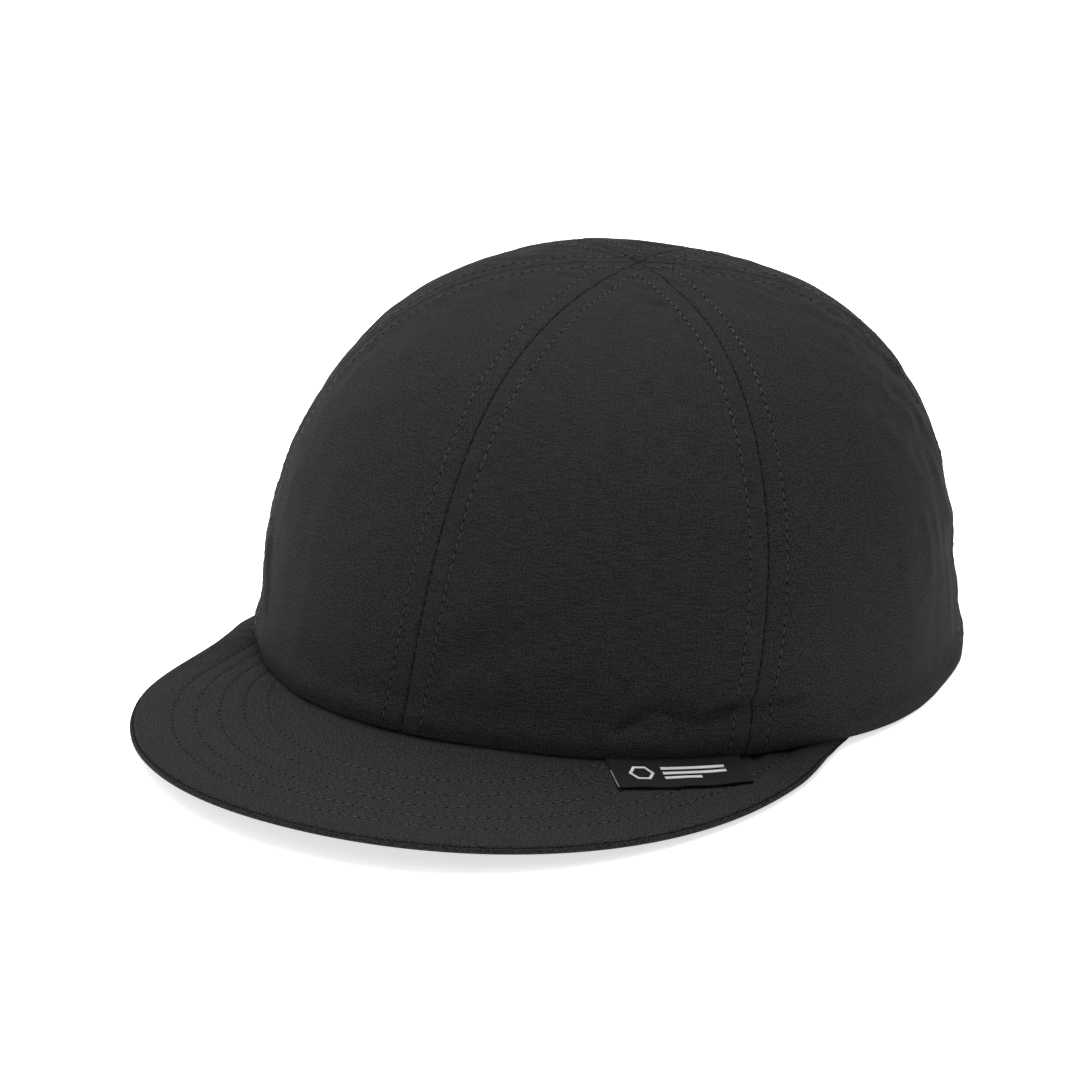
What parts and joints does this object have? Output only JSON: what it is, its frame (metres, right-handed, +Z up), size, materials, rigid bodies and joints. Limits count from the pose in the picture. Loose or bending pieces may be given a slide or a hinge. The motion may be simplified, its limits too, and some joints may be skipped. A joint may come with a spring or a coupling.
{
  "type": "bump cap",
  "caption": "Soft six-panel cap with a short stitched brim over a vented hard insert on foam pads, with a rear strap and cam clasp for size.",
  "frame": {"origin": "centre of the cap's footprint, on the surface that it stands on", "axes": "+Z up; -Y towards the front of the brim; +X towards the wearer's left"},
  "size_m": [0.1842, 0.2517, 0.1047],
  "materials": {
    "crown_cloth": "matte",
    "brim_cloth": "matte",
    "tape_cloth": "matte",
    "sweatband_cloth": "matte",
    "tab_cloth": "matte",
    "hook_and_loop": "matte",
    "brim_board": "matte",
    "label_cloth": "matte",
    "shell_plastic": "satin",
    "pad_foam": "matte",
    "webbing": "matte",
    "clasp_metal": "satin"
  },
  "bodies": {
    "cap": {"crown_front_left": "crown_cloth", "crown_front_right": "crown_cloth", "crown_side_left": "crown_cloth", "crown_side_right": "crown_cloth", "crown_back_left": "crown_cloth", "crown_back_right": "crown_cloth", "seam_tape_middle": "tape_cloth", "seam_tape_left": "tape_cloth", "seam_tape_right": "tape_cloth", "rear_arch_facing": "tape_cloth", "sweatband": "sweatband_cloth", "size_tab": "tab_cloth", "loop_patch_front_left": "hook_and_loop", "loop_patch_front_right": "hook_and_loop", "loop_patch_side_left": "hook_and_loop", "loop_patch_side_right": "hook_and_loop", "brim_upper_cover": "brim_cloth", "brim_board": "brim_board", "brim_lower_cover": "brim_cloth", "brim_label": "label_cloth", "clasp_tab": "webbing", "clasp_frame": "clasp_metal", "clasp_pin": "clasp_metal"},
    "insert": {"bump_shell": "shell_plastic", "foam_pad_top": "pad_foam", "foam_pad_front": "pad_foam", "foam_pad_rear": "pad_foam", "foam_pad_left": "pad_foam", "foam_pad_right": "pad_foam", "hook_patch_front_left": "hook_and_loop", "hook_patch_front_right": "hook_and_loop", "hook_patch_side_left": "hook_and_loop", "hook_patch_side_right": "hook_and_loop"},
    "strap": {"adjuster_strap": "webbing"},
    "lever": {"clasp_lever": "clasp_metal"}
  },
  "joints": [
    {"name": "insert_pull_out", "type": "slide", "parent": "cap", "child": "insert", "axis": [0, -0.0598, -0.9982], "range_m": [0, 0.11]},
    {"name": "strap_adjust", "type": "hinge", "parent": "cap", "child": "strap", "pos_m": [0, 0.02697, 0.01662], "axis": [0, 0.0598, 0.9982], "range_deg": [-12, 12]},
    {"name": "clasp_lever_turn", "type": "hinge", "parent": "cap", "child": "lever", "pos_m": [0.01435, 0.12126, 0.01158], "axis": [-0.0408, -0.1328, 0.9903], "range_deg": [0, 100]}
  ]
}
